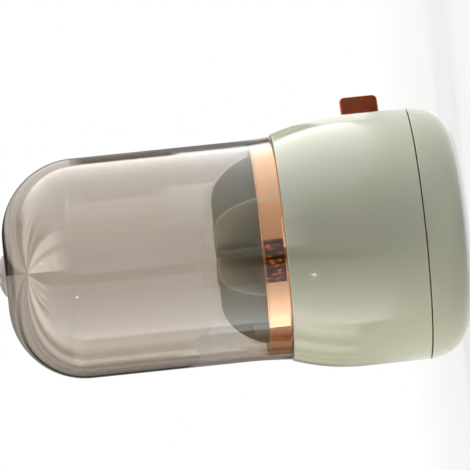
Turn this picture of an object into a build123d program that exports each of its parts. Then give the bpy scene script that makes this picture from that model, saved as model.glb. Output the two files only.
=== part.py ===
from build123d import *

import os
from math import cos, hypot, radians, sin

os.makedirs("parts", exist_ok=True)

# Rotating brush holder with a drawer, in millimetres. Z is up, the origin is the centre of the
# resting face, and the drawer opens towards -Y.

# ---- Driving dimensions ----

# Foot: a round dish that stays still
foot_side_w = 20.0
foot_wall = 2.8
foot_top_z = 23.2
pad_margin = 3.8
pad_t = 1.5
pad_proud = 0.5
pad_play = 0.2
pad_chamfer = 0.3
foot_rib_t = 1.8
foot_rib_h = 7.0
foot_rib_count = 6

# Barrel: the turning body above the seam
barrel_r = 69.8
barrel_wall = 2.6
seam_gap = 0.6
barrel_curve_z = 60.0
shoulder_z = 99.3
shoulder_drop = 6.9
shoulder_round = 1.2
rim_round = 0.4

# Turntable
plate_t = 3.0
plate_lift = 0.6
plate_play = 0.3
ball_r = 2.0
ball_play = 0.1
ball_count = 12
ball_pitch_r = 40.0
race_w = 8.0
race_t = 1.8
groove_depth = 0.8
race_lip_w = 1.8
race_lip_h = 1.2
cage_w = 6.0
cage_t = 1.5
cage_play = 0.15
pedestal_w = 4.0
post_r = 6.0
post_foot_r = 9.0
bush_play = 0.05
bush_wall = 2.0
bush_flange_r = 10.0
bush_flange_t = 1.0
bush_gap = 0.2
washer_r = 9.5
washer_t = 0.8
washer_gap = 0.1
pivot_shank_r = 1.75
pivot_head_r = 3.4
pivot_head_h = 1.6
pivot_length = 14.0

# Screws that hold the mouldings together
screw_shank_r = 1.25
screw_head_r = 2.4
screw_head_h = 1.4
screw_slot_w = 0.7
screw_slot_depth = 0.6
screw_play = 0.05
screw_clearance = 0.3
head_sink = 0.2
plate_screw_y = 28.0
plate_screw_length = 9.0
boss_r = 5.0
boss_h = 16.0
boss_inset = 4.14

# Drawer
front_w = 70.8
front_h = 33.8
front_lift = 4.8
front_corner_r = 3.0
front_gap = 0.5
front_overlap = 4.4
tray_front_gap = 3.72
tray_back_y = 44.0
tray_top_drop = 3.8
tray_wall = 1.6
tray_corner_r = 4.0
tray_lift = 0.5
front_screw_inset = 5.0
front_boss_r = 4.0
front_screw_length = 6.0

# Drawer runners and stops
runner_play = 0.4
runner_t = 2.0
runner_ledge = 3.0
runner_flange = 6.6
runner_seat_gap = 0.2
runner_lip_t = 1.6
runner_lip_w = 2.4
runner_wall_gap = 3.17
runner_screw_y = 34.0
runner_screw_length = 4.5
stop_x = 16.0
stop_w = 8.0
stop_t = 3.0
stop_h = 2.0
stop_play = 0.5
drawer_travel = 68.5

# Pull tab: a strip of leather standing upright, pinned between two cheeks
tab_t = 2.2
tab_h = 21.2
tab_reach = 24.7
tab_corner_r = 2.9
tab_play = 0.1
tab_tail_gap = 0.3
cheek_t = 2.0
cheek_depth = 7.7
rivet_r = 1.2
rivet_head_r = 2.2
rivet_head_t = 0.7
rivet_inset = 3.1
rivet_spacing = 11.0

# Brush cup, divider and collar
cup_wall = 1.9
cup_floor_gap = 4.4
cup_floor_t = 2.4
cup_corner_r = 3.0
cup_flange_w = 2.7
cup_flange_t = 2.2
neck_play = 0.1
collar_t = 0.85
collar_h = 12.9
collar_lip_t = 0.7
collar_play = 0.05
collar_gap = 0.4
fin_count = 6
fin_t = 1.8
fin_top_z = 135.5
fin_play = 0.4
fin_shoulder_r = 28.0
fin_curve_h = 44.0
fin_edge_r = 0.5
hub_r = 5.0
hub_base_r = 11.0
hub_base_t = 2.0
divider_screw_length = 10.0

# Lid
dome_ledge = 0.7
dome_wall = 1.8
dome_flare = 1.2
dome_flare_h = 25.0
dome_gap = 0.2
dome_corner_r = 42.0
dome_top_z = 252.4
knob_r = 11.35
knob_h = 4.3
knob_edge_h = 0.9
spigot_r = 3.0
spigot_play = 0.05

# ---- Sizes worked out from them ----

foot_base_z = pad_proud
foot_r = barrel_r
foot_flat_r = foot_r - foot_side_w
foot_floor_z = foot_base_z + foot_wall
pad_r = foot_flat_r - pad_margin
pad_recess = pad_t - pad_proud

barrel_base_z = foot_top_z + seam_gap
barrel_in_r = barrel_r - barrel_wall
shoulder_r = barrel_r - shoulder_drop
shoulder_rise = shoulder_z - barrel_curve_z
barrel_curve_r = (shoulder_rise**2 + shoulder_drop**2) / (2 * shoulder_drop)
shoulder_under_z = shoulder_z - barrel_wall

plate_z = barrel_base_z + plate_lift
plate_top_z = plate_z + plate_t
plate_r = barrel_in_r - plate_play
upper_race_z = plate_z - race_t
ball_z = upper_race_z + groove_depth - ball_play - ball_r
lower_race_top_z = ball_z - ball_r - ball_play + groove_depth
lower_race_z = lower_race_top_z - race_t
race_in_r = ball_pitch_r - race_w / 2
race_out_r = ball_pitch_r + race_w / 2
bush_in_r = post_r + bush_play
bush_out_r = bush_in_r + bush_wall
post_foot_z = plate_z - bush_flange_t - bush_gap
post_top_z = plate_top_z + washer_gap
pivot_seat_z = post_top_z + washer_t
plate_screw_x = ((barrel_in_r - boss_inset) ** 2 - plate_screw_y**2) ** 0.5

front_mid_z = barrel_base_z + front_lift + front_h / 2
tray_half_w = front_w / 2 - front_overlap
tray_corner_x = tray_half_w - tray_corner_r
tray_corner_y = -((barrel_in_r - tray_front_gap - tray_corner_r) ** 2 - tray_corner_x**2) ** 0.5
tray_front_y = tray_corner_y - tray_corner_r
tray_top_z = front_mid_z + front_h / 2 - tray_top_drop
tray_z = pivot_seat_z + pivot_head_h + tray_lift
tray_floor_z = tray_z + tray_wall
front_screw_x = tray_corner_x - front_screw_inset
cheek_end_y = cheek_depth - barrel_in_r
tab_tail_y = cheek_end_y - tab_tail_gap
rivet_y = cheek_end_y - rivet_inset
runner_in_x = tray_half_w + runner_play
runner_out_x = runner_in_x + runner_t
runner_base_t = tray_z - runner_seat_gap - plate_top_z
runner_lip_z = tray_top_z + runner_play
runner_screw_x = runner_out_x + runner_flange / 2
runner_edge_x = runner_out_x + runner_flange
runner_front_y = -((barrel_in_r - runner_wall_gap) ** 2 - runner_edge_x**2) ** 0.5
stop_back_y = tray_back_y - stop_t
stop_front_y = stop_back_y - drawer_travel - stop_play

dome_r = shoulder_r - dome_ledge - dome_flare
collar_r = dome_r - dome_wall - collar_gap
collar_top_z = shoulder_z + collar_h
cup_r = collar_r - collar_t - collar_play
cup_in_r = cup_r - cup_wall
cup_flange_r = cup_r + cup_flange_w
cup_floor_z = runner_lip_z + runner_lip_t + cup_floor_gap
cup_base_z = cup_floor_z + cup_floor_t
cup_top_z = collar_top_z - collar_lip_t
neck_r = cup_r + neck_play
fin_r = cup_in_r - fin_play
dome_base_z = shoulder_z + dome_gap
dome_curve_r = (dome_flare_h**2 + dome_flare**2) / (2 * dome_flare)
knob_edge_z = dome_top_z + knob_edge_h
knob_crown_h = knob_h - knob_edge_h
knob_crown_r = (knob_r**2 + knob_crown_h**2) / (2 * knob_crown_h)

both = (-1, 1)
plate_screws_at = [(x * plate_screw_x, y * plate_screw_y) for x in both for y in both]
runner_screws_at = [(x * runner_screw_x, y * runner_screw_y) for x in both for y in both]


# ---- Shapes that several pieces share ----


def barrel(outer_r, curve_r, bottom_z, top_z):
    """Solid of revolution inside the barrel's outline: straight, then drawn in towards the shoulder."""
    reach = top_z - barrel_curve_z
    top_r = outer_r - (curve_r - (curve_r**2 - reach**2) ** 0.5)
    with BuildSketch(Plane.XZ) as outline:
        with BuildLine():
            Polyline((0, bottom_z), (outer_r, bottom_z), (outer_r, barrel_curve_z))
            RadiusArc((outer_r, barrel_curve_z), (top_r, top_z), -curve_r)
            Polyline((top_r, top_z), (0, top_z), (0, bottom_z))
        make_face()
    return revolve(outline.sketch, axis=Axis.Z)


def dish(rim_r, floor_z, top_z):
    """Solid of revolution with a flat floor and a quarter-ellipse side, for the foot."""
    with BuildSketch(Plane.XZ) as outline:
        with BuildLine():
            Line((0, floor_z), (foot_flat_r, floor_z))
            EllipticalCenterArc(
                (foot_flat_r, top_z), rim_r - foot_flat_r, top_z - floor_z, start_angle=270, arc_size=90
            )
            Polyline((rim_r, top_z), (0, top_z), (0, floor_z))
        make_face()
    return revolve(outline.sketch, axis=Axis.Z)


def dome(outer_r, curve_r, corner_r, top_z):
    """Solid of revolution inside the lid's outline: flared foot, straight side, big round corner."""
    flare_z = dome_base_z + dome_flare_h
    corner_z = top_z - corner_r
    with BuildSketch(Plane.XZ) as outline:
        with BuildLine():
            Line((0, dome_base_z), (outer_r + dome_flare, dome_base_z))
            RadiusArc((outer_r + dome_flare, dome_base_z), (outer_r, flare_z), curve_r)
            Line((outer_r, flare_z), (outer_r, corner_z))
            CenterArc((outer_r - corner_r, corner_z), corner_r, 0, 90)
            Polyline((outer_r - corner_r, top_z), (0, top_z), (0, dome_base_z))
        make_face()
    return revolve(outline.sketch, axis=Axis.Z)


def ring(inner_r, outer_r, bottom_z, top_z, mode=Mode.ADD):
    """Flat ring round the Z axis."""
    with BuildSketch(Plane.XY.offset(bottom_z)) as outline:
        Circle(outer_r)
        if inner_r > 0:
            Circle(inner_r, mode=Mode.SUBTRACT)
    extrude(outline.sketch, amount=top_z - bottom_z, mode=mode)


def screws(seats, shank_r, head_r, head_h, length):
    """Slotted screws with their heads on the seat planes, pointing along each plane's normal."""
    with Locations(*seats):
        Cylinder(shank_r, length, align=(Align.CENTER, Align.CENTER, Align.MAX))
        Cylinder(head_r, head_h, align=(Align.CENTER, Align.CENTER, Align.MIN))
    slots = [seat.offset(head_h) for seat in seats]
    with Locations(*slots):
        Box(
            2 * head_r + 1,
            screw_slot_w,
            screw_slot_depth,
            align=(Align.CENTER, Align.CENTER, Align.MAX),
            mode=Mode.SUBTRACT,
        )


def on_front_outline(edge):
    """Whether an edge of the barrel's outer skin runs round the drawer front."""
    middle = edge.position_at(0.5)
    skin_r = barrel_r - barrel_curve_r + (barrel_curve_r**2 - max(middle.Z - barrel_curve_z, 0) ** 2) ** 0.5
    near_front = abs(middle.X) < front_w / 2 + 2 * front_gap and abs(middle.Z - front_mid_z) < front_h
    on_seam = edge.position_at(0).Z == edge.position_at(1).Z == barrel_curve_z
    return middle.Y < 0 and near_front and not on_seam and abs(hypot(middle.X, middle.Y) - skin_r) < 0.01


def finish(builder, name):
    """Label a finished piece and write its file."""
    builder.part.label = name
    export_step(builder.part, f"parts/{name}.step")


# ---- Foot, which stands still ----

foot_outer = dish(foot_r, foot_base_z, foot_top_z)
foot_inner = dish(foot_r - foot_wall, foot_floor_z, foot_top_z)

with BuildPart() as foot_shell:
    add(foot_outer)
    add(foot_inner, mode=Mode.SUBTRACT)
    rib_length = foot_flat_r - post_foot_r + foot_wall
    with PolarLocations(post_foot_r - 1, foot_rib_count):
        with Locations((rib_length / 2, 0, foot_floor_z - 0.5)):
            Box(rib_length, foot_rib_t, foot_rib_h, align=(Align.CENTER, Align.CENTER, Align.MIN))
    ring(ball_pitch_r - pedestal_w / 2, ball_pitch_r + pedestal_w / 2, foot_floor_z - 0.5, lower_race_z)
    ring(0, post_foot_r, foot_floor_z - 0.5, post_foot_z)
    ring(0, post_r, foot_floor_z, post_top_z)
    ring(0, pad_r + pad_play, foot_base_z, foot_base_z + pad_recess, mode=Mode.SUBTRACT)
    with Locations((0, 0, post_top_z)):
        Hole(pivot_shank_r + screw_play, depth=pivot_length + 1)
    rim = foot_shell.edges().filter_by(GeomType.CIRCLE).filter_by(lambda edge: edge.radius > foot_r - 0.1)
    fillet(rim, radius=rim_round)
finish(foot_shell, "foot_shell")

with BuildPart() as foot_pad:
    ring(0, pad_r, 0, pad_t)
    chamfer(foot_pad.edges().group_by(Axis.Z)[0], length=pad_chamfer)
finish(foot_pad, "foot_pad")

with BuildPart() as lower_race:
    ring(race_in_r, race_out_r, lower_race_z, lower_race_top_z)
    with BuildSketch(Plane.XZ):
        with Locations((ball_pitch_r, ball_z)):
            Circle(ball_r + ball_play)
    revolve(axis=Axis.Z, mode=Mode.SUBTRACT)
finish(lower_race, "lower_race")

with BuildPart() as pivot_washer:
    ring(pivot_shank_r + screw_clearance, washer_r, post_top_z, pivot_seat_z)
finish(pivot_washer, "pivot_washer")

with BuildPart() as pivot_screw:
    screws([Plane.XY.offset(pivot_seat_z)], pivot_shank_r, pivot_head_r, pivot_head_h, pivot_length)
finish(pivot_screw, "pivot_screw")

# ---- Ball cage, which turns at half the barrel's speed ----

with BuildPart() as ball_cage:
    ring(ball_pitch_r - cage_w / 2, ball_pitch_r + cage_w / 2, ball_z - cage_t / 2, ball_z + cage_t / 2)
    with Locations((0, 0, ball_z)):
        with PolarLocations(ball_pitch_r, ball_count):
            Cylinder(ball_r + cage_play, 2 * cage_t, mode=Mode.SUBTRACT)
finish(ball_cage, "ball_cage")

with BuildPart() as bearing_balls:
    with Locations((0, 0, ball_z)):
        with PolarLocations(ball_pitch_r, ball_count):
            Sphere(ball_r)
finish(bearing_balls, "bearing_balls")

# ---- Barrel, which turns on the foot ----

barrel_outer = barrel(barrel_r, barrel_curve_r, barrel_base_z, shoulder_z)
barrel_inner = barrel(barrel_in_r, barrel_curve_r - barrel_wall, barrel_base_z, shoulder_under_z)

with BuildPart() as body_shell:
    add(barrel_outer)
    fillet(body_shell.edges().group_by(Axis.Z)[-1], radius=shoulder_round)
    fillet(body_shell.edges().group_by(Axis.Z)[0], radius=rim_round)
    add(barrel_inner, mode=Mode.SUBTRACT)
    ring(0, neck_r, shoulder_under_z - 1, shoulder_z + 1, mode=Mode.SUBTRACT)
    with BuildSketch(Plane.XY.offset(plate_top_z)):
        with Locations(*plate_screws_at):
            Circle(boss_r)
    extrude(amount=boss_h)
    with Locations(*[Plane((x, y, plate_top_z), z_dir=(0, 0, -1)) for x, y in plate_screws_at]):
        Hole(screw_shank_r + screw_play, depth=boss_h - 3)
    with BuildSketch(Plane.XZ):
        with Locations((0, front_mid_z)):
            RectangleRounded(front_w + 2 * front_gap, front_h + 2 * front_gap, front_corner_r + front_gap)
    extrude(amount=barrel_r + 10, mode=Mode.SUBTRACT)
    fillet(body_shell.edges().filter_by(on_front_outline), radius=rim_round)
finish(body_shell, "body_shell")

with BuildPart() as turn_plate:
    ring(bush_out_r, plate_r, plate_z, plate_top_z)
    ring(race_out_r + cage_play, race_out_r + cage_play + race_lip_w, plate_z - race_lip_h, plate_z)
    with Locations(*[Plane((x, y, plate_z), z_dir=(0, 0, -1)) for x, y in plate_screws_at]):
        CounterBoreHole(
            screw_shank_r + screw_clearance,
            screw_head_r + screw_clearance,
            screw_head_h + head_sink,
            depth=plate_t,
        )
    with Locations(*[(x, y, plate_top_z) for x, y in runner_screws_at]):
        Hole(screw_shank_r + screw_play, depth=plate_t)
    with Locations((-stop_x, stop_front_y, plate_top_z), (stop_x, stop_front_y, plate_top_z)):
        Box(stop_w, stop_t, stop_h, align=(Align.CENTER, Align.MAX, Align.MIN))
finish(turn_plate, "turn_plate")

with BuildPart() as pivot_bush:
    ring(bush_in_r, bush_out_r, plate_z, plate_top_z)
    ring(bush_in_r, bush_flange_r, plate_z - bush_flange_t, plate_z)
finish(pivot_bush, "pivot_bush")

with BuildPart() as upper_race:
    ring(race_in_r, race_out_r, upper_race_z, plate_z)
    with BuildSketch(Plane.XZ):
        with Locations((ball_pitch_r, ball_z)):
            Circle(ball_r + ball_play)
    revolve(axis=Axis.Z, mode=Mode.SUBTRACT)
finish(upper_race, "upper_race")

plate_seat_z = plate_z + screw_head_h + head_sink
with BuildPart() as plate_screws:
    seats = [Plane((x, y, plate_seat_z), z_dir=(0, 0, -1)) for x, y in plate_screws_at]
    screws(seats, screw_shank_r, screw_head_r, screw_head_h, plate_screw_length)
finish(plate_screws, "plate_screws")

with BuildPart() as drawer_runners:
    with BuildSketch(Plane.XZ.offset(-runner_front_y)):
        with BuildLine():
            base_z = plate_top_z + runner_base_t
            Polyline(
                (runner_in_x - runner_ledge, plate_top_z),
                (runner_edge_x, plate_top_z),
                (runner_edge_x, base_z),
                (runner_out_x, base_z),
                (runner_out_x, runner_lip_z + runner_lip_t),
                (runner_in_x - runner_lip_w, runner_lip_z + runner_lip_t),
                (runner_in_x - runner_lip_w, runner_lip_z),
                (runner_in_x, runner_lip_z),
                (runner_in_x, base_z),
                (runner_in_x - runner_ledge, base_z),
                close=True,
            )
        make_face()
    extrude(amount=-(tray_back_y - runner_front_y))
    mirror(about=Plane.YZ)
    with Locations(*[(x, y, plate_top_z + runner_base_t) for x, y in runner_screws_at]):
        Hole(screw_shank_r + screw_clearance, depth=runner_base_t)
finish(drawer_runners, "drawer_runners")

with BuildPart() as runner_screws:
    seats = [Plane((x, y, plate_top_z + runner_base_t)) for x, y in runner_screws_at]
    screws(seats, screw_shank_r, screw_head_r, screw_head_h, runner_screw_length)
finish(runner_screws, "runner_screws")

with BuildPart() as brush_cup:
    with BuildSketch(Plane.XY.offset(cup_floor_z)):
        Circle(cup_r)
    extrude(amount=cup_top_z - cup_floor_z)
    fillet(brush_cup.edges().group_by(Axis.Z)[0], radius=cup_corner_r)
    ring(0, cup_in_r, cup_base_z, cup_top_z, mode=Mode.SUBTRACT)
    ring(cup_r - 1, cup_flange_r, shoulder_under_z - cup_flange_t, shoulder_under_z)
    with Locations((0, 0, cup_base_z)):
        Hole(screw_shank_r + screw_clearance, depth=cup_floor_t)
finish(brush_cup, "brush_cup")

with BuildPart() as divider:
    for k in range(fin_count):
        angle = radians(360 / fin_count * k)
        radial = Plane((0, 0, 0), x_dir=(cos(angle), sin(angle), 0), z_dir=(sin(angle), -cos(angle), 0))
        with BuildSketch(radial):
            with BuildLine():
                Polyline((0, cup_base_z), (fin_r, cup_base_z), (fin_r, fin_top_z - fin_curve_h))
                EllipticalCenterArc(
                    (fin_shoulder_r, fin_top_z - fin_curve_h),
                    fin_r - fin_shoulder_r,
                    fin_curve_h,
                    start_angle=0,
                    arc_size=90,
                )
                Polyline((fin_shoulder_r, fin_top_z), (0, fin_top_z), (0, cup_base_z))
            make_face()
        extrude(amount=fin_t / 2, both=True)
    ring(0, hub_r, cup_base_z, fin_top_z)
    ring(0, hub_base_r, cup_base_z, cup_base_z + hub_base_t)
    with Locations(Plane((0, 0, cup_base_z), z_dir=(0, 0, -1))):
        Hole(screw_shank_r + screw_play, depth=divider_screw_length)
    fillet(divider.edges().filter_by(GeomType.ELLIPSE), radius=fin_edge_r)
finish(divider, "divider")

with BuildPart() as divider_screw:
    seat = Plane((0, 0, cup_floor_z), z_dir=(0, 0, -1))
    screws([seat], screw_shank_r, screw_head_r, screw_head_h, divider_screw_length)
finish(divider_screw, "divider_screw")

with BuildPart() as collar_ring:
    ring(cup_r + collar_play, collar_r, shoulder_z, collar_top_z)
    ring(cup_in_r, collar_r, cup_top_z, collar_top_z)
    fillet(collar_ring.edges().group_by(Axis.Z)[-1].sort_by(SortBy.RADIUS)[-1], radius=0.4)
finish(collar_ring, "collar_ring")

# ---- Drawer, which slides out of the barrel ----

with BuildPart() as drawer_front:
    add(barrel_outer)
    add(barrel_inner, mode=Mode.SUBTRACT)
    with BuildSketch(Plane.XZ):
        with Locations((0, front_mid_z)):
            RectangleRounded(front_w, front_h, front_corner_r)
    extrude(amount=barrel_r + 10, mode=Mode.INTERSECT)
    fillet(drawer_front.edges().filter_by(on_front_outline), radius=rim_round)
    cheek_x = tab_t / 2 + tab_play
    cheek_length = barrel_in_r + 1 + cheek_end_y
    for side in both:
        with Locations((side * (cheek_x + cheek_t / 2), cheek_end_y, front_mid_z)):
            Box(cheek_t, cheek_length, tab_h + 1, align=(Align.CENTER, Align.MAX, Align.CENTER))
        boss_length = (barrel_in_r**2 - front_screw_x**2) ** 0.5 + tray_front_y + 1
        with Locations(Plane((side * front_screw_x, tray_front_y, front_mid_z), z_dir=(0, -1, 0))):
            Cylinder(front_boss_r, boss_length, align=(Align.CENTER, Align.CENTER, Align.MIN))
        with Locations(Plane((side * front_screw_x, tray_front_y, front_mid_z), z_dir=(0, 1, 0))):
            Hole(screw_shank_r + screw_play, depth=front_screw_length - tray_wall + 0.5)
    with Locations((0, cheek_end_y, front_mid_z)):
        Box(
            tab_t + 2 * tab_play,
            barrel_r,
            tab_h + 2 * tab_play,
            align=(Align.CENTER, Align.MAX, Align.CENTER),
            mode=Mode.SUBTRACT,
        )
    for step in (-0.5, 0.5):
        with Locations(Plane((0, rivet_y, front_mid_z + step * rivet_spacing), z_dir=(1, 0, 0))):
            Cylinder(rivet_r + screw_play, 4 * cheek_x + 2 * cheek_t, mode=Mode.SUBTRACT)
finish(drawer_front, "drawer_front")

with BuildPart() as drawer_tray:
    tray_mid_y = (tray_front_y + tray_back_y) / 2
    tray_length = tray_back_y - tray_front_y
    with BuildSketch(Plane.XY.offset(tray_z)):
        with Locations((0, tray_mid_y)):
            RectangleRounded(2 * tray_half_w, tray_length, tray_corner_r)
    extrude(amount=tray_top_z - tray_z)
    with BuildSketch(Plane.XY.offset(tray_floor_z)):
        with Locations((0, tray_mid_y)):
            RectangleRounded(
                2 * (tray_half_w - tray_wall), tray_length - 2 * tray_wall, tray_corner_r - tray_wall
            )
    extrude(amount=tray_top_z - tray_floor_z, mode=Mode.SUBTRACT)
    with Locations((-stop_x, stop_back_y, tray_z), (stop_x, stop_back_y, tray_z)):
        Box(stop_w, stop_t, stop_h, align=(Align.CENTER, Align.MIN, Align.MAX))
    for side in both:
        with Locations(Plane((side * front_screw_x, tray_front_y, front_mid_z), z_dir=(0, -1, 0))):
            Hole(screw_shank_r + screw_clearance, depth=tray_wall)
finish(drawer_tray, "drawer_tray")

with BuildPart() as front_screws:
    seat_y = tray_front_y + tray_wall
    seats = [Plane((x, seat_y, front_mid_z), z_dir=(0, 1, 0)) for x in (-front_screw_x, front_screw_x)]
    screws(seats, screw_shank_r, screw_head_r, screw_head_h, front_screw_length)
finish(front_screws, "front_screws")

with BuildPart() as pull_tab:
    tab_tip_y = -(barrel_r + tab_reach)
    with BuildSketch(Plane.YZ) as outline:
        with Locations(((tab_tip_y + tab_tail_y) / 2, front_mid_z)):
            Rectangle(tab_tail_y - tab_tip_y, tab_h)
        fillet(outline.vertices().group_by(Axis.Y)[0], radius=tab_corner_r)
        with Locations((rivet_y, front_mid_z)):
            with GridLocations(0, rivet_spacing, 1, 2):
                Circle(rivet_r + screw_play, mode=Mode.SUBTRACT)
    extrude(amount=tab_t / 2, both=True)
finish(pull_tab, "pull_tab")

with BuildPart() as tab_rivets:
    grip = cheek_x + cheek_t
    for step in (-0.5, 0.5):
        with Locations(Plane((0, rivet_y, front_mid_z + step * rivet_spacing), z_dir=(1, 0, 0))):
            Cylinder(rivet_r, 2 * grip)
            with Locations((0, 0, grip + rivet_head_t / 2), (0, 0, -grip - rivet_head_t / 2)):
                Cylinder(rivet_head_r, rivet_head_t)
finish(tab_rivets, "tab_rivets")

# ---- Lid, which lifts off ----

dome_outer = dome(dome_r, dome_curve_r, dome_corner_r, dome_top_z)
dome_inner = dome(dome_r - dome_wall, dome_curve_r, dome_corner_r - dome_wall, dome_top_z - dome_wall)

with BuildPart() as lid_dome:
    add(dome_outer)
    add(dome_inner, mode=Mode.SUBTRACT)
    fillet(lid_dome.edges().group_by(Axis.Z)[0], radius=rim_round)
    with Locations((0, 0, dome_top_z)):
        Hole(spigot_r + spigot_play, depth=dome_wall)
finish(lid_dome, "lid_dome")

with BuildPart() as lid_knob:
    with BuildSketch(Plane.XZ):
        with BuildLine():
            Polyline((0, dome_top_z), (knob_r, dome_top_z), (knob_r, knob_edge_z))
            RadiusArc((knob_r, knob_edge_z), (0, dome_top_z + knob_h), -knob_crown_r)
            Line((0, dome_top_z + knob_h), (0, dome_top_z))
        make_face()
    revolve(axis=Axis.Z)
    ring(0, spigot_r, dome_top_z - dome_wall, dome_top_z)
finish(lid_knob, "lid_knob")
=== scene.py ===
"""Looks of a round brush holder with a drawer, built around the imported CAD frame.

Lengths are in metres, in the row frame: +Z up, the drawer opening towards -Y.
"""

import math

import bmesh
import bpy
from bpy.props import FloatProperty, FloatVectorProperty, IntProperty, PointerProperty
from mathutils import Matrix, Vector


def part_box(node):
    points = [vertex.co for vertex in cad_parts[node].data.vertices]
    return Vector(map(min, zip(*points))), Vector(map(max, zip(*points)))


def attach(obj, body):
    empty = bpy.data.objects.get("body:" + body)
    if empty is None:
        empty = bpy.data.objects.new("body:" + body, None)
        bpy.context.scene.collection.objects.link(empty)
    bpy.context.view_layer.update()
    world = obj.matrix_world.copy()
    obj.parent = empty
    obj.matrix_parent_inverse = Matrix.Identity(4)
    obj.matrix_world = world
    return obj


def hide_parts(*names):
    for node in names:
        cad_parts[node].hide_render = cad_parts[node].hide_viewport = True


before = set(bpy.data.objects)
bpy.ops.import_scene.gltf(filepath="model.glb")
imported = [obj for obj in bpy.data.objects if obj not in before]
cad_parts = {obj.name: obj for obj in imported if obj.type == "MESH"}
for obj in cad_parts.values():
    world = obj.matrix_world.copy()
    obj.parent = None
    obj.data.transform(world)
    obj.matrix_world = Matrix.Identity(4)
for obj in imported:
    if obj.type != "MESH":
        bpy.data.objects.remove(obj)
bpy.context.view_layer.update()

bl_info = {
    "name": "Brush holder with drawer",
    "version": (1, 0, 0),
    "blender": (4, 5, 0),
    "location": "View3D > Sidebar > Brush Holder",
    "description": "Finishes and pieces of a round brush holder with a drawer",
    "category": "Object",
}

# ---- Places read from the frame ----

COLLAR_LOW, COLLAR_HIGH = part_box("collar_ring")
DOME_LOW, DOME_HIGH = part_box("lid_dome")
KNOB_LOW, KNOB_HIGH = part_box("lid_knob")
TAB_LOW, TAB_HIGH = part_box("pull_tab")
PAD_LOW, PAD_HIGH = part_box("foot_pad")

MM = 0.001
# Points nearer than MERGED become one point, and a length under TINY counts as none.
MERGED, TINY = 0.001 * MM, 0.01 * MM
# Steps round the axis: as a rule, on the collar, and on pieces that are small or hidden.
SPIN_STEPS, COLLAR_STEPS, SMALL_STEPS = 192, 240, 96
# Edges that turn by more degrees than this stay sharp.
SHARP, COLLAR_SHARP = 40, 8
# The floor's drop under the foot's pad keeps the two apart. FLOOR_HALF is half its side.
FLOOR_DROP, FLOOR_HALF = 0.2 * MM, 6
# Height that the lamps look at.
LAMP_AIM = 0.12
# Most of a noise texture's values lie between these.
NOISE_LOW, NOISE_HIGH = 0.3, 0.7
# Sockets of a colour Mix node.
MIX_A, MIX_B, MIX_RESULT = 6, 7, 2
# How light falls off across a scrim, as a power, and the soft share at each edge of a bulb.
SCRIM_FALL, BULB_EDGE = 1.6, 0.3


# ---- Values that a user would change ----


def length(name, description, default):
    return FloatProperty(name=name, description=description, default=default, unit="LENGTH")


def turn(name, description, default):
    return FloatProperty(name=name, description=description, default=math.radians(default), unit="ROTATION")


def colour(name, description, red, green, blue):
    return FloatVectorProperty(
        name=name, description=description, subtype="COLOR", size=4, default=(red, green, blue, 1)
    )


class HolderSizes(bpy.types.PropertyGroup):
    """Sizes of the pieces that are modelled here."""

    dome_wall: length("Dome wall", "Thickness of the lid's clear wall", 1.8 * MM)
    dome_corner: length("Dome corner", "Radius of the dome's big round corner", 42 * MM)
    dome_flare: length("Dome flare", "How far the dome's foot flares out", 1.2 * MM)
    dome_flare_height: length("Flare height", "Height of the flared foot", 25 * MM)
    dome_rim: length("Dome rim", "Rounding of the dome's lower rim", 0.6 * MM)
    spigot_radius: length("Spigot", "Radius of the button's pin through the dome", 3 * MM)
    knob_edge: length("Button edge", "Height of the button's straight edge", 0.9 * MM)
    knob_round: length("Button round", "Rounding of the button's edge", 0.5 * MM)
    collar_wall: length("Collar wall", "Thickness of the plated collar", 0.85 * MM)
    collar_lip: length("Collar lip", "Thickness of the collar's turned-in top", 0.7 * MM)
    collar_roll: length("Collar roll", "Width of the rolled edges", 0.9 * MM)
    collar_step: length("Collar step", "How far the band lies back between the rolled edges", 0.12 * MM)
    tab_corner: length("Tab corner", "Radius of the leather's outer corners", 2.9 * MM)
    tab_burnish: length("Tab burnish", "Rounding of the leather's cut edges", 1.05 * MM)
    pad_groove: length("Pad groove", "Depth of the rings in the anti-slip pad", 0.4 * MM)
    pad_rings: IntProperty(
        name="Pad rings", description="Raised rings under the foot", default=9, min=2, max=20
    )


class HolderColours(bpy.types.PropertyGroup):
    """Colours of the holder's finishes, linear."""

    green: colour("Green", "Glossy moulded plastic", 0.46, 0.465, 0.36)
    rose_gold: colour("Rose gold", "Mirror plating of the collar", 0.95, 0.53, 0.29)
    smoke: colour("Smoke", "Tint of the dome's wall", 0.67, 0.632, 0.58)
    smoke_depth: colour("Smoke depth", "What a long way through the dome's wall lets pass", 0.66, 0.57, 0.5)
    clear: colour("Clear", "The button on the lid", 0.93, 0.92, 0.9)
    leather: colour("Leather", "Face of the pull tab", 0.125, 0.022, 0.004)
    # Painted lighter than the face: partly the burnished cut edge, partly a painted highlight where the rim
    # catches the light.
    leather_edge_and_highlight: colour("Leather edge", "Burnished edge of the pull tab", 0.5, 0.1, 0.008)
    rubber: colour("Rubber", "Anti-slip pad", 0.045, 0.045, 0.043)
    acetal: colour("Acetal", "Ball cage and bush", 0.78, 0.78, 0.74)
    steel: colour("Steel", "Races, balls and washer", 0.62, 0.62, 0.61)
    zinc: colour("Zinc", "Screws", 0.66, 0.65, 0.6)
    brass: colour("Brass", "Rivets of the pull tab", 0.8, 0.58, 0.3)


class HolderStage(bpy.types.PropertyGroup):
    """Camera and light."""

    camera_azimuth: turn("Camera azimuth", "0 looks along +Y", -122)
    camera_distance: length("Camera distance", "From the holder's axis", 3.0)
    camera_height: length("Camera height", "Above the floor", 0.238)
    camera_roll: turn("Camera roll", "The photograph lies on its side", -95.9)
    frame_width: length("Frame width", "Seen across the frame at the axis", 0.26)
    aim_right: length("Aim to the right", "Middle of the frame beside the axis", 0.0096)
    aim_height: length("Aim height", "Middle of the frame", 0.124)
    lamp_distance: length("Lamp distance", "From the axis", 1.25)
    card_distance: length("Card distance", "From the axis", 0.7)
    fill: FloatProperty(name="Fill", description="Soft light on matt surfaces", default=0.17, min=0)


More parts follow.
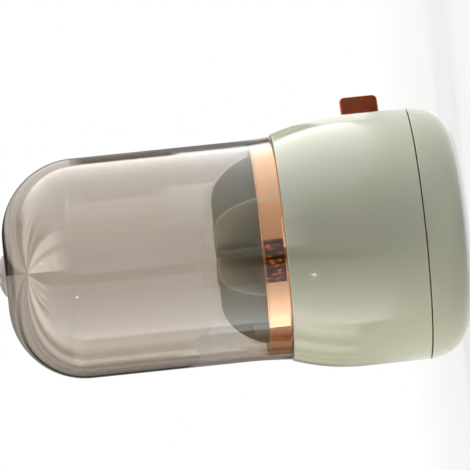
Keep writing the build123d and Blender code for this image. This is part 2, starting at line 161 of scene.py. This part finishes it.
def sizes():
    return bpy.context.scene.holder_sizes


def colours():
    return bpy.context.scene.holder_colours


def stage():
    return bpy.context.scene.holder_stage


# ---- Material helpers ----


def new_material(name):
    """An empty node material, its node tree and its output."""
    material = bpy.data.materials.new(name)
    material.use_nodes = True
    tree = material.node_tree
    tree.nodes.clear()
    output = tree.nodes.new("ShaderNodeOutputMaterial")
    return material, tree, output


def add(tree, kind, settings=None, inputs=None):
    """A node with its settings and its unlinked input values."""
    node = tree.nodes.new(kind)
    for key, value in (settings or {}).items():
        setattr(node, key, value)
    for key, value in (inputs or {}).items():
        node.inputs[key].default_value = value
    return node


def join(tree, from_node, output, to_node, socket):
    tree.links.new(from_node.outputs[output], to_node.inputs[socket])


def maths(tree, operation, *values, clamp=False):
    """A Math node. Each value is a number or a (node, output) pair."""
    node = add(tree, "ShaderNodeMath", {"operation": operation, "use_clamp": clamp})
    for place, value in enumerate(values):
        if isinstance(value, tuple):
            join(tree, *value, node, place)
        else:
            node.inputs[place].default_value = value
    return node, "Value"


def ramp(tree, source, low, high, low_colour=(0, 0, 0, 1), high_colour=(1, 1, 1, 1)):
    """A colour ramp between two places."""
    steps = add(tree, "ShaderNodeValToRGB")
    ends = steps.color_ramp.elements
    ends[0].position, ends[1].position = low, high
    ends[0].color, ends[1].color = low_colour, high_colour
    join(tree, *source, steps, "Fac")
    return steps, "Color"


def noise(tree, scale, detail, stretch=None):
    """Noise on Object coordinates, stretched where asked."""
    place = add(tree, "ShaderNodeTexCoord")
    node = add(tree, "ShaderNodeTexNoise", inputs={"Scale": scale, "Detail": detail})
    if stretch:
        mapping = add(tree, "ShaderNodeMapping", inputs={"Scale": stretch})
        join(tree, place, "Object", mapping, "Vector")
        join(tree, mapping, "Vector", node, "Vector")
    else:
        join(tree, place, "Object", node, "Vector")
    return node, "Fac"


def ranged(tree, source, low, high, start=0.0, end=1.0):
    """The source's start to end spread over low to high, and held at them beyond."""
    limits = {"From Min": start, "From Max": end, "To Min": low, "To Max": high}
    node = add(tree, "ShaderNodeMapRange", inputs=limits)
    join(tree, *source, node, "Value")
    return node, "Result"


def shaded(value, share):
    """The colour made lighter or darker by that share."""
    return (*[min(c * share, 1) for c in value[:3]], 1)


def mottle(tree, source, value, low, high):
    """The colour, darker and lighter as the source goes."""
    return ramp(tree, source, NOISE_LOW, NOISE_HIGH, shaded(value, low), shaded(value, high))


def bumped(tree, source, strength, distance, shader):
    bump = add(tree, "ShaderNodeBump", inputs={"Strength": strength, "Distance": distance})
    join(tree, *source, bump, "Height")
    join(tree, bump, "Normal", shader, "Normal")


# ---- Finishes ----


def gloss_plastic(name, value):
    """Polished moulded plastic: faint flow marks, a little orange peel and a clear coat."""
    material, tree, output = new_material(name)
    coated = {"IOR": 1.5, "Coat Weight": 0.35, "Coat Roughness": 0.04}
    shader = add(tree, "ShaderNodeBsdfPrincipled", inputs=coated)
    flow = noise(tree, 9, 2, stretch=(1, 1, 0.35))
    join(tree, *mottle(tree, flow, value, 0.975, 1.02), shader, "Base Color")
    smears = noise(tree, 55, 4)
    join(tree, *ranged(tree, smears, 0.09, 0.17), shader, "Roughness")
    bumped(tree, noise(tree, 380, 1), 0.035, 0.0002, shader)
    join(tree, shader, "BSDF", output, "Surface")
    return material


def satin_plastic(name, value):
    """Spark-eroded moulded plastic."""
    material, tree, output = new_material(name)
    shader = add(tree, "ShaderNodeBsdfPrincipled", inputs={"IOR": 1.46})
    join(tree, *mottle(tree, noise(tree, 20, 3), value, 0.93, 1.04), shader, "Base Color")
    grain = noise(tree, 1800, 3)
    join(tree, *ranged(tree, grain, 0.36, 0.52), shader, "Roughness")
    bumped(tree, grain, 0.2, 0.0001, shader)
    join(tree, shader, "BSDF", output, "Surface")
    return material


def plated(name, value):
    """Mirror plating with faint polishing marks round the band."""
    material, tree, output = new_material(name)
    shader = add(tree, "ShaderNodeBsdfPrincipled", inputs={"Metallic": 1.0})
    marks = noise(tree, 60, 4, stretch=(1, 1, 14))
    join(tree, *mottle(tree, marks, value, 0.95, 1.02), shader, "Base Color")
    join(tree, *ranged(tree, marks, 0.02, 0.05), shader, "Roughness")
    bumped(tree, noise(tree, 38, 1, stretch=(1, 1, 0.4)), 0.06, 0.0004, shader)
    join(tree, shader, "BSDF", output, "Surface")
    return material


def clear_plastic(name, tint, clearness=1.0, depth=None, density=0.0, dull=0.012):
    """Clear moulded plastic that lets the lamps through to what stands behind it."""
    material, tree, output = new_material(name)
    clear = {"Base Color": tint, "IOR": 1.49, "Transmission Weight": clearness}
    shader = add(tree, "ShaderNodeBsdfPrincipled", inputs=clear)
    join(tree, *ranged(tree, noise(tree, 26, 3), 0.0, dull), shader, "Roughness")
    passing = add(tree, "ShaderNodeBsdfTransparent", inputs={"Color": tint})
    path = add(tree, "ShaderNodeLightPath")
    choose = add(tree, "ShaderNodeMixShader")
    join(tree, path, "Is Shadow Ray", choose, "Fac")
    join(tree, shader, "BSDF", choose, 1)
    join(tree, passing, "BSDF", choose, 2)
    join(tree, choose, "Shader", output, "Surface")
    if depth:
        soak = add(tree, "ShaderNodeVolumeAbsorption", inputs={"Color": depth, "Density": density})
        join(tree, soak, "Volume", output, "Volume")
    return material


def leather(name, face, edge, face_x):
    """Smooth saddle leather: pores and creases on its two faces, and lighter cut edges that are partly
    burnished and partly a painted highlight.
    """
    material, tree, output = new_material(name)
    shader = add(tree, "ShaderNodeBsdfPrincipled", inputs={"IOR": 1.45, "Specular IOR Level": 0.12})
    place = add(tree, "ShaderNodeTexCoord")
    split = add(tree, "ShaderNodeSeparateXYZ")
    join(tree, place, "Object", split, "Vector")
    across = maths(tree, "ABSOLUTE", (split, "X"))
    wander = 0.06 * MM
    wobble = ranged(tree, noise(tree, 300, 2), -wander, wander)
    share = maths(tree, "DIVIDE", maths(tree, "ADD", across, wobble), face_x)
    # Between these shares of the half thickness, the lighter edge colour (burnished edge and painted
    # highlight) gives way to the face colour.
    edge_end, face_start = 0.86, 0.99
    on_face = ramp(tree, share, edge_end, face_start)
    blend = add(tree, "ShaderNodeMix", {"data_type": "RGBA"})
    join(tree, *on_face, blend, "Factor")
    join(tree, *mottle(tree, noise(tree, 160, 3), edge, 0.8, 1.15), blend, MIX_A)
    join(tree, *mottle(tree, noise(tree, 110, 4), face, 0.75, 1.25), blend, MIX_B)
    join(tree, blend, MIX_RESULT, shader, "Base Color")
    pores = add(tree, "ShaderNodeTexVoronoi", {"feature": "DISTANCE_TO_EDGE"}, {"Scale": 1400.0})
    join(tree, place, "Object", pores, "Vector")
    join(tree, *ranged(tree, noise(tree, 90, 4), 0.36, 0.52), shader, "Roughness")
    bumped(tree, (pores, "Distance"), 0.35, 0.0002, shader)
    join(tree, shader, "BSDF", output, "Surface")
    return material


def metal(name, value, low, high):
    """Turned or pressed metal, its roughness from low to high."""
    material, tree, output = new_material(name)
    shader = add(tree, "ShaderNodeBsdfPrincipled", inputs={"Metallic": 1.0})
    marks = noise(tree, 200, 4)
    join(tree, *mottle(tree, marks, value, 0.85, 1.08), shader, "Base Color")
    join(tree, *ranged(tree, marks, low, high), shader, "Roughness")
    join(tree, shader, "BSDF", output, "Surface")
    return material


def rubber(name, value):
    """Matt anti-slip sheet with a fine grain."""
    material, tree, output = new_material(name)
    shader = add(tree, "ShaderNodeBsdfPrincipled", inputs={"IOR": 1.4})
    grain = noise(tree, 900, 4)
    join(tree, *mottle(tree, grain, value, 0.8, 1.3), shader, "Base Color")
    join(tree, *ranged(tree, grain, 0.75, 0.95), shader, "Roughness")
    bumped(tree, grain, 0.4, 0.0003, shader)
    join(tree, shader, "BSDF", output, "Surface")
    return material


# ---- Mesh helpers ----


def finished(name, mesh, material, sharp=None):
    """A bmesh made into an object of that name and finish.

    With sharp, in degrees, it is shaded smooth but for the edges that turn by more.
    """
    data = bpy.data.meshes.new(name)
    mesh.to_mesh(data)
    mesh.free()
    data.materials.append(material)
    if sharp:
        data.shade_smooth()
        data.set_sharp_from_angle(angle=math.radians(sharp))
    piece = bpy.data.objects.new(name, data)
    bpy.context.scene.collection.objects.link(piece)
    return piece


def rounded(mesh, items, offset, steps, affect):
    """Rounds corners, with affect VERTICES, or edges, with affect EDGES."""
    bmesh.ops.bevel(
        mesh,
        geom=items,
        offset=offset,
        offset_type="OFFSET",
        segments=steps,
        profile=0.5,
        affect=affect,
        material=-1,
    )


def section(mesh, corners):
    """A flat face in the plane through the axis.

    Each corner is its radius and height, and where it is round, the rounding and its steps.
    """
    points = [mesh.verts.new((radius, 0, height)) for radius, height, *_ in corners]
    mesh.faces.new(points)
    for point, (_, _, *rounding) in zip(points, corners):
        if rounding:
            rounded(mesh, [point], *rounding, "VERTICES")


def turned(name, corners, material, steps=SPIN_STEPS, sharp=SHARP):
    """A piece turned round the holder's axis from its section."""
    mesh = bmesh.new()
    section(mesh, corners)
    bmesh.ops.delete(mesh, geom=list(mesh.faces), context="FACES_ONLY")
    on_axis = [edge for edge in mesh.edges if all(point.co.x < TINY for point in edge.verts)]
    bmesh.ops.delete(mesh, geom=on_axis, context="EDGES")
    outline = list(mesh.verts) + list(mesh.edges)
    bmesh.ops.spin(
        mesh, geom=outline, cent=(0, 0, 0), axis=(0, 0, 1), angle=math.tau, steps=steps, use_merge=True
    )
    bmesh.ops.remove_doubles(mesh, verts=list(mesh.verts), dist=MERGED)
    bmesh.ops.recalc_face_normals(mesh, faces=list(mesh.faces))
    return finished(name, mesh, material, sharp)


def square(half):
    """A flat square round the origin, facing +Z. half is half its side."""
    mesh = bmesh.new()
    bmesh.ops.create_grid(mesh, x_segments=1, y_segments=1, size=half)
    return mesh


def wear(node_names, material):
    """Gives CAD nodes their finish."""
    for name in node_names:
        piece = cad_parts[name]
        piece.data.materials.clear()
        piece.data.materials.append(material)


# ---- Stage ----


def around(turned_by, distance, height):
    """A point round the holder, turned from the camera's direction, to the right if positive."""
    azimuth = stage().camera_azimuth
    away = Vector((math.sin(azimuth), -math.cos(azimuth), 0))
    right = Vector((math.cos(azimuth), math.sin(azimuth), 0))
    angle = math.radians(turned_by)
    return (away * math.cos(angle) + right * math.sin(angle)) * distance + Vector((0, 0, height))


def facing(place, aim):
    """A matrix at place whose -Z looks at aim."""
    return Matrix.Translation(place) @ (aim - place).to_track_quat("-Z", "Y").to_matrix().to_4x4()


def lamp(name, turned_by, height, wide, tall, power, tint):
    """A softbox that lights surfaces and is mirrored in none of them."""
    light = bpy.data.lights.new(name, "AREA")
    light.shape = "RECTANGLE"
    light.size, light.size_y, light.energy, light.color = wide, tall, power, tint
    box = bpy.data.objects.new(name, light)
    bpy.context.scene.collection.objects.link(box)
    box.matrix_world = facing(around(turned_by, stage().lamp_distance, height), Vector((0, 0, LAMP_AIM)))
    box.visible_glossy = False
    box.visible_transmission = False


def looked_at(tree, path):
    """1 on a path straight from the camera or through clear plastic, else 0."""
    return maths(tree, "MAXIMUM", (path, "Is Camera Ray"), (path, "Is Transmission Ray"))


def once_mirrored(tree):
    """1 on a path that has been mirrored and then met nothing matt, else 0."""
    path = add(tree, "ShaderNodeLightPath")
    mirrored = maths(tree, "GREATER_THAN", (path, "Glossy Depth"), 0.5)
    return maths(tree, "SUBTRACT", mirrored, (path, "Is Diffuse Ray"), clamp=True)


def through_clear(tree):
    """1 on a path that has come through the dome, else 0."""
    path = add(tree, "ShaderNodeLightPath")
    return maths(tree, "GREATER_THAN", (path, "Transmission Depth"), 0.5)


def mirrored_light(name, value, level, cover):
    """Light that shows in reflections alone. level and cover make its strength and its opacity."""
    material, tree, output = new_material(name)
    light = add(tree, "ShaderNodeEmission", inputs={"Color": value})
    join(tree, *level(tree), light, "Strength")
    choose = add(tree, "ShaderNodeMixShader")
    join(tree, *maths(tree, "MULTIPLY", once_mirrored(tree), cover(tree)), choose, "Fac")
    join(tree, add(tree, "ShaderNodeBsdfTransparent"), "BSDF", choose, 1)
    join(tree, light, "Emission", choose, 2)
    join(tree, choose, "Shader", output, "Surface")
    material.cycles.emission_sampling = "NONE"
    return material


def on_card(tree):
    """The place on a card, 0 to 1 along its X and its Y."""
    place = add(tree, "ShaderNodeTexCoord")
    split = add(tree, "ShaderNodeSeparateXYZ")
    join(tree, place, "Generated", split, "Vector")
    return split


def softened(tree, place, near_end, far_end):
    """1 along a card, falling to 0 over those shares of it at its two ends."""
    rise = maths(tree, "DIVIDE", place, near_end, clamp=True)
    fall = maths(tree, "DIVIDE", maths(tree, "SUBTRACT", 1.0, place), far_end, clamp=True)
    return maths(tree, "MULTIPLY", rise, fall)


def scrim(name, value, start, end, side=0.06, foot=0.02, top=0.55, for_collar=False):
    """Lit cloth: from start to end across it, with soft edges.

    side, foot and top are the soft shares of it. One for the collar shows through the dome alone.
    """

    def level(tree):
        place = (on_card(tree), "X")
        if start > end:
            away = maths(tree, "SUBTRACT", 1.0, place)
            return ranged(tree, maths(tree, "POWER", away, SCRIM_FALL), end, start)
        return ranged(tree, maths(tree, "POWER", place, SCRIM_FALL), start, end)

    def cover(tree):
        split = on_card(tree)
        across = softened(tree, (split, "X"), side, side)
        soft = maths(tree, "MULTIPLY", across, softened(tree, (split, "Y"), foot, top))
        return maths(tree, "MULTIPLY", soft, through_clear(tree)) if for_collar else soft

    return mirrored_light(name, value, level, cover)


def speckled(name, value, dark, light, stretch):
    """A dark card with small bright bits, for the collar. It shows through the dome alone."""
    core, edge = 0.08, 0.36

    def level(tree):
        place = add(tree, "ShaderNodeTexCoord")
        mapping = add(tree, "ShaderNodeMapping", inputs={"Scale": stretch})
        join(tree, place, "Object", mapping, "Vector")
        cells = add(tree, "ShaderNodeTexVoronoi", {"feature": "F1"}, {"Scale": 1.0})
        join(tree, mapping, "Vector", cells, "Vector")
        bits = ramp(tree, (cells, "Distance"), core, edge, (1, 1, 1, 1), (0, 0, 0, 1))
        return ranged(tree, bits, dark, light)

    return mirrored_light(name, value, level, through_clear)


def card(name, from_turn, to_turn, low, high, distance, material):
    """A flat upright card between two turns round the holder, facing it."""
    half_turn = math.radians(abs(to_turn - from_turn) / 2)
    mesh = square(0.5)
    bmesh.ops.scale(mesh, vec=(2 * distance * math.tan(half_turn), high - low, 1), verts=mesh.verts)
    piece = finished(name, mesh, material)
    middle = around((from_turn + to_turn) / 2, distance, (low + high) / 2)
    piece.matrix_world = facing(middle, Vector((0, 0, middle.z)))
    piece.visible_camera = False
    piece.visible_diffuse = False
    piece.visible_shadow = False


def studio_world():
    """White to look at, a softer fill on matt surfaces, and upright stripes in reflections."""
    world = bpy.data.worlds.new("studio")
    bpy.context.scene.world = world
    world.use_nodes = True
    tree = world.node_tree
    tree.nodes.clear()
    output = add(tree, "ShaderNodeOutputWorld")
    seen = add(tree, "ShaderNodeBackground", inputs={"Color": (1, 1, 1, 1), "Strength": 1.0})
    fill = add(tree, "ShaderNodeBackground", inputs={"Color": (1, 0.975, 0.93, 1), "Strength": stage().fill})
    path = add(tree, "ShaderNodeLightPath")
    plain = add(tree, "ShaderNodeMixShader")
    join(tree, *maths(tree, "MAXIMUM", looked_at(tree, path), (path, "Is Glossy Ray")), plain, "Fac")
    join(tree, fill, "Background", plain, 1)
    join(tree, seen, "Background", plain, 2)

    place = add(tree, "ShaderNodeTexCoord")
    ahead = add(tree, "ShaderNodeVectorMath", {"operation": "DOT_PRODUCT"}, {1: around(0, 1, 0)})
    aside = add(tree, "ShaderNodeVectorMath", {"operation": "DOT_PRODUCT"}, {1: around(90, 1, 0)})
    join(tree, place, "Generated", ahead, 0)
    join(tree, place, "Generated", aside, 0)
    bearing = maths(tree, "ARCTAN2", (aside, "Value"), (ahead, "Value"))
    bands = add(tree, "ShaderNodeTexNoise", {"noise_dimensions": "1D"}, {"Scale": 2.3, "Detail": 2.0})
    join(tree, *bearing, bands, "W")
    dark, light = (0.07, 0.055, 0.045, 1), (1, 0.95, 0.88, 1)
    stripes = ramp(tree, (bands, "Fac"), 0.44, 0.56, dark, light)
    # Bright from the camera's side round to beside the holder, and dim behind it. Bearings are in radians.
    beside, behind = 1.6, 2.3
    bright, dim = 1.5, 0.4
    round_it = ranged(tree, maths(tree, "ABSOLUTE", bearing), bright, dim, beside, behind)
    split = add(tree, "ShaderNodeSeparateXYZ")
    join(tree, place, "Generated", split, "Vector")
    gain = 2.2
    overhead = maths(tree, "MULTIPLY_ADD", maths(tree, "MAXIMUM", (split, "Z"), 0.0), gain, 1.0)
    mirrored = add(tree, "ShaderNodeBackground")
    join(tree, *maths(tree, "MULTIPLY", round_it, overhead), mirrored, "Strength")
    join(tree, *stripes, mirrored, "Color")
    choose = add(tree, "ShaderNodeMixShader")
    join(tree, *once_mirrored(tree), choose, "Fac")
    join(tree, plain, "Shader", choose, 1)
    join(tree, mirrored, "Background", choose, 2)
    join(tree, choose, "Shader", output, "Surface")


def floor_paper():
    """Pale paper: it takes the holder's shadow near by and is plain white further off."""
    material, tree, output = new_material("floor_paper")
    paper = add(tree, "ShaderNodeBsdfDiffuse", inputs={"Color": (0.9, 0.9, 0.9, 1)})
    white = add(tree, "ShaderNodeEmission", inputs={"Color": (1, 1, 1, 1)})
    path = add(tree, "ShaderNodeLightPath")
    place = add(tree, "ShaderNodeTexCoord")
    length_of = add(tree, "ShaderNodeVectorMath", {"operation": "LENGTH"})
    join(tree, place, "Object", length_of, 0)
    from_axis = (length_of, "Value")
    # How much of it is plain white, by distance from the axis where it is looked at.
    fade = ranged(tree, from_axis, 0.6, 1.0, start=0.08, end=0.5)
    seen = maths(tree, "MULTIPLY", looked_at(tree, path), fade)
    white_in_gloss = 0.93
    share = maths(tree, "MAXIMUM", seen, maths(tree, "MULTIPLY", (path, "Is Glossy Ray"), white_in_gloss))
    # How much darker the white gets further off where it is mirrored.
    dim = ranged(tree, from_axis, 0.0, 0.7, start=0.4, end=1.0)
    mirrored_dim = maths(tree, "MULTIPLY", once_mirrored(tree), dim)
    join(tree, *maths(tree, "SUBTRACT", 1.0, mirrored_dim), white, "Strength")
    choose = add(tree, "ShaderNodeMixShader")
    join(tree, *share, choose, "Fac")
    join(tree, paper, "BSDF", choose, 1)
    join(tree, white, "Emission", choose, 2)
    join(tree, choose, "Shader", output, "Surface")
    return material


class HOLDER_OT_stage(bpy.types.Operator):
    """Floor, lamps, cards and the camera at the photograph's angle"""

    bl_idname = "holder.stage"
    bl_label = "Stage"

    def execute(self, context):
        values = stage()
        data = bpy.data.cameras.new("camera")
        camera = bpy.data.objects.new("camera", data)
        context.scene.collection.objects.link(camera)
        place = around(0, values.camera_distance, values.camera_height)
        aim = around(90, values.aim_right, values.aim_height)
        camera.matrix_world = facing(place, aim) @ Matrix.Rotation(values.camera_roll, 4, "Z")
        data.lens = data.sensor_width * (aim - place).length / values.frame_width
        data.clip_end = 100
        context.scene.camera = camera

        # Degrees round from the camera's direction, height, width, length, watts and colour.
        lamp("lamp_right", 102, 0.36, 0.7, 1.2, 25, (0.96, 0.985, 1))
        lamp("lamp_left", -92, 0.45, 0.7, 1.2, 18, (1, 0.965, 0.87))
        lamp("lamp_top", 20, 1.15, 0.7, 0.7, 2.5, (1, 0.985, 0.95))

        # Cards: from and to in degrees, foot and top in metres, then how far away they stand.
        near, far = values.card_distance, 1.2 * values.card_distance
        white, cream, brown = (1, 0.99, 0.97, 1), (1, 0.96, 0.9, 1), (0.9, 0.45, 0.22, 1)
        card("scrim_left", -80, -14, -0.03, 1.5, near, scrim("scrim_left", white, 3.9, 0.7))
        card("scrim_right", 44, 136, -0.03, 1.5, near, scrim("scrim_right", white, 1.5, 4.3))
        card("scrim_back", 130, 160, 0.2, 1.1, near, scrim("scrim_back", white, 1.5, 1.0))
        card("scrim_low", 134, 176, -0.03, 0.096, near, scrim("scrim_low", white, 1.6, 1.1, top=0.1))
        card("scrim_front", -8, 50, -0.05, 0.9, far, scrim("scrim_front", cream, 0.8, 1.35))
        bulb = scrim("bulb", white, 26, 26, BULB_EDGE, BULB_EDGE, BULB_EDGE)
        card("bulb_front", -29.5, -27.5, 0.33, 0.36, near, bulb)
        card("bulb_high", 13, 16, 1.4, 1.44, near, bulb)

        # Low cards for the collar, which stand closer.
        close, low, high = 0.9 * near, 0.06, 0.135
        for name, from_turn, to_turn, tint, start, end in (
            ("collar_edge", -150, -89, (1, 0.68, 0.45, 1), 0.6, 0.9),
            ("collar_left", -90, -34, (0.88, 1.06, 1.25, 1), 6.2, 1.7),
            ("collar_front", 9, 48, cream, 1.05, 1.5),
            ("collar_right", 46, 142, (0.86, 1.06, 1.25, 1), 1.5, 5.4),
        ):
            light = scrim(name, tint, start, end, side=0.02, top=0.1, for_collar=True)
            card(name, from_turn, to_turn, low, high, close, light)
        # The collar squeezes what it mirrors sideways, so the bits lie long across the card.
        patch = speckled("room_front", brown, 0.01, 3.0, stretch=(18, 330, 1))
        card("room_front", -35, 10, low, high, close, patch)

        studio_world()
        mesh = square(FLOOR_HALF)
        bmesh.ops.translate(mesh, vec=(0, 0, -FLOOR_DROP), verts=mesh.verts)
        finished("floor", mesh, floor_paper())
        context.scene.view_settings.view_transform = "Standard"
        return {"FINISHED"}


# ---- Pieces ----


class HOLDER_OT_mouldings(bpy.types.Operator):
    """Green mouldings of the foot, barrel, cup and drawer, and the acetal cage and bush"""

    bl_idname = "holder.mouldings"
    bl_label = "Mouldings"

    def execute(self, context):
        green = colours().green
        gloss = gloss_plastic("green_gloss", green)
        wear(["foot_shell", "body_shell", "drawer_front", "brush_cup", "divider"], gloss)
        wear(["drawer_tray", "turn_plate", "drawer_runners"], satin_plastic("green_satin", green))
        wear(["ball_cage", "pivot_bush"], satin_plastic("white_acetal", colours().acetal))
        return {"FINISHED"}


class HOLDER_OT_metalwork(bpy.types.Operator):
    """Screws, rivets, balls and races"""

    bl_idname = "holder.metalwork"
    bl_label = "Metalwork"

    def execute(self, context):
        steel = metal("race_steel", colours().steel, 0.15, 0.35)
        wear(["lower_race", "upper_race", "bearing_balls", "pivot_washer"], steel)
        zinc = metal("zinc_screw", colours().zinc, 0.25, 0.45)
        wear(["pivot_screw", "plate_screws", "runner_screws", "divider_screw", "front_screws"], zinc)
        wear(["tab_rivets"], metal("brass_rivet", colours().brass, 0.2, 0.35))
        return {"FINISHED"}


class HOLDER_OT_collar(bpy.types.Operator):
    """Rose-gold band round the cup's neck, with rolled edges and a turned-in top"""

    bl_idname = "holder.collar"
    bl_label = "Collar"

    def execute(self, context):
        size = sizes()
        outer, low, high = COLLAR_HIGH.x, COLLAR_LOW.z, COLLAR_HIGH.z
        inner = outer - size.collar_wall
        turned_in = 1.95 * MM
        mouth = inner - turned_in
        band = outer - size.collar_step
        roll = size.collar_roll
        foot_round, top_round, mouth_round = 0.3 * MM, 0.4 * MM, 0.25 * MM
        roll_round, band_round = 0.08 * MM, 0.06 * MM
        corners = [
            (inner, low),
            (outer, low, foot_round, 3),
            (outer, low + roll, roll_round, 2),
            (band, low + roll + size.collar_step, band_round, 2),
            (band, high - roll - size.collar_step, band_round, 2),
            (outer, high - roll, roll_round, 2),
            (outer, high, top_round, 5),
            (mouth, high, mouth_round, 3),
            (mouth, high - size.collar_lip),
            (inner, high - size.collar_lip),
        ]
        plating = plated("rose_gold", colours().rose_gold)
        piece = turned("collar_band", corners, plating, COLLAR_STEPS, COLLAR_SHARP)
        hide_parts("collar_ring")
        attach(piece, "barrel")
        return {"FINISHED"}


class HOLDER_OT_dome(bpy.types.Operator):
    """Smoky clear dome with a flared foot and a hole for the button's pin"""

    bl_idname = "holder.dome"
    bl_label = "Dome"

    def execute(self, context):
        size = sizes()
        wall, corner, flare = size.dome_wall, size.dome_corner, size.dome_flare
        outer, low, high = DOME_HIGH.x - flare, DOME_LOW.z, DOME_HIGH.z
        inner = outer - wall
        bend = low + size.dome_flare_height / 2
        bend_round = 0.45 * size.dome_flare_height
        pin_gap = 0.05 * MM
        hole = size.spigot_radius + pin_gap
        corner_steps, bend_steps, rim_steps = 28, 12, 5
        corners = [
            (hole, high),
            (outer, high, corner, corner_steps),
            (outer, bend, bend_round, bend_steps),
            (outer + flare, low, size.dome_rim, rim_steps),
            (inner + flare, low, size.dome_rim, rim_steps),
            (inner, bend, bend_round, bend_steps),
            (inner, high - wall, corner - wall, corner_steps),
            (hole, high - wall),
        ]
        smoke = clear_plastic("smoke_clear", colours().smoke, depth=colours().smoke_depth, density=110.0)
        piece = turned("dome_shell", corners, smoke)
        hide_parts("lid_dome")
        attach(piece, "lid")
        return {"FINISHED"}


class HOLDER_OT_button(bpy.types.Operator):
    """Low clear button on the lid, with a crowned top and its pin"""

    bl_idname = "holder.button"
    bl_label = "Button"

    def execute(self, context):
        size = sizes()
        radius, high = KNOB_HIGH.x, KNOB_HIGH.z
        seat, pin_end = DOME_HIGH.z, KNOB_LOW.z
        pin_round, seat_round = 0.3 * MM, 0.2 * MM
        crown, crown_round = 0.45 * radius, 0.42 * radius
        corners = [
            (0, pin_end),
            (size.spigot_radius, pin_end, pin_round, 3),
            (size.spigot_radius, seat),
            (radius, seat, seat_round, 3),
            (radius, seat + size.knob_edge, size.knob_round, 5),
            (crown, high, crown_round, 12),
            (0, high),
        ]
        clear = clear_plastic("clear_button", colours().clear, clearness=0.7, dull=0.06)
        piece = turned("lid_button", corners, clear, SMALL_STEPS)
        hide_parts("lid_knob")
        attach(piece, "lid")
        return {"FINISHED"}


class HOLDER_OT_pull_tab(bpy.types.Operator):
    """Upright leather strip with round corners and burnished edges, their lighter colour partly a painted
    highlight
    """

    bl_idname = "holder.pull_tab"
    bl_label = "Pull tab"

    def execute(self, context):
        size = sizes()
        face_x = TAB_HIGH.x
        mesh = bmesh.new()
        tip, tail, low, high = TAB_LOW.y, TAB_HIGH.y, TAB_LOW.z, TAB_HIGH.z
        outline = ((tail, low), (tail, high), (tip, high), (tip, low))
        corners = [mesh.verts.new((-face_x, y, z)) for y, z in outline]
        mesh.faces.new(corners)
        rounded(mesh, corners[2:], size.tab_corner, 10, "VERTICES")
        grown = bmesh.ops.extrude_face_region(mesh, geom=list(mesh.faces), use_keep_orig=True)
        moved = [item for item in grown["geom"] if isinstance(item, bmesh.types.BMVert)]
        bmesh.ops.translate(mesh, vec=(2 * face_x, 0, 0), verts=moved)
        rim = [edge for edge in mesh.edges if abs(edge.verts[0].co.x - edge.verts[1].co.x) < TINY]
        rounded(mesh, rim, size.tab_burnish, 4, "EDGES")
        bmesh.ops.recalc_face_normals(mesh, faces=list(mesh.faces))
        # The edge colour is lighter than the face, partly as a painted highlight on the rim.
        finish = leather("tan_leather", colours().leather, colours().leather_edge_and_highlight, face_x)
        piece = finished("leather_tab", mesh, finish, SHARP)
        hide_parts("pull_tab")
        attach(piece, "drawer")
        return {"FINISHED"}


class HOLDER_OT_pad(bpy.types.Operator):
    """Anti-slip pad with raised rings in the foot's underside"""

    bl_idname = "holder.pad"
    bl_label = "Foot pad"

    def execute(self, context):
        size = sizes()
        radius, low, high = PAD_HIGH.x, PAD_LOW.z, PAD_HIGH.z
        pitch = radius / (size.pad_rings + 0.5)
        ring_round = 0.25 * MM
        # In from a ring's outer edge, in pitches: the ring's inner edge, then both edges of the
        # groove's floor.
        ring_end, groove_start, groove_end = 0.7, 0.75, 0.95
        corners = [(0, high), (radius, high)]
        for ring in range(size.pad_rings, 0, -1):
            edge = ring * pitch + 0.5 * pitch
            corners.append((edge, low, ring_round, 2))
            corners.append((edge - ring_end * pitch, low, ring_round, 2))
            corners.append((edge - groove_start * pitch, low + size.pad_groove))
            corners.append((edge - groove_end * pitch, low + size.pad_groove))
        corners.append((0, low + size.pad_groove))
        piece = turned("grip_pad", corners, rubber("foot_rubber", colours().rubber), SMALL_STEPS)
        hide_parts("foot_pad")
        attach(piece, "foot")
        return {"FINISHED"}


class HOLDER_PT_panel(bpy.types.Panel):
    """Sidebar panel with the holder's pieces and values"""

    bl_idname = "HOLDER_PT_panel"
    bl_label = "Brush Holder"
    bl_space_type = "VIEW_3D"
    bl_region_type = "UI"
    bl_category = "Brush Holder"

    def draw(self, context):
        for operator in OPERATORS:
            self.layout.operator(operator.bl_idname)


OPERATORS = (
    HOLDER_OT_stage,
    HOLDER_OT_mouldings,
    HOLDER_OT_metalwork,
    HOLDER_OT_collar,
    HOLDER_OT_dome,
    HOLDER_OT_button,
    HOLDER_OT_pull_tab,
    HOLDER_OT_pad,
)
GROUPS = (HolderSizes, HolderColours, HolderStage)


def register():
    for item in (*GROUPS, *OPERATORS, HOLDER_PT_panel):
        bpy.utils.register_class(item)
    bpy.types.Scene.holder_sizes = PointerProperty(type=HolderSizes)
    bpy.types.Scene.holder_colours = PointerProperty(type=HolderColours)
    bpy.types.Scene.holder_stage = PointerProperty(type=HolderStage)


def unregister():
    del bpy.types.Scene.holder_stage
    del bpy.types.Scene.holder_colours
    del bpy.types.Scene.holder_sizes
    for item in reversed((*GROUPS, *OPERATORS, HOLDER_PT_panel)):
        bpy.utils.unregister_class(item)


def main():
    register()
    bpy.ops.holder.stage()
    bpy.ops.holder.mouldings()
    bpy.ops.holder.metalwork()
    bpy.ops.holder.collar()
    bpy.ops.holder.dome()
    bpy.ops.holder.button()
    bpy.ops.holder.pull_tab()
    bpy.ops.holder.pad()


if __name__ == "__main__":
    main()
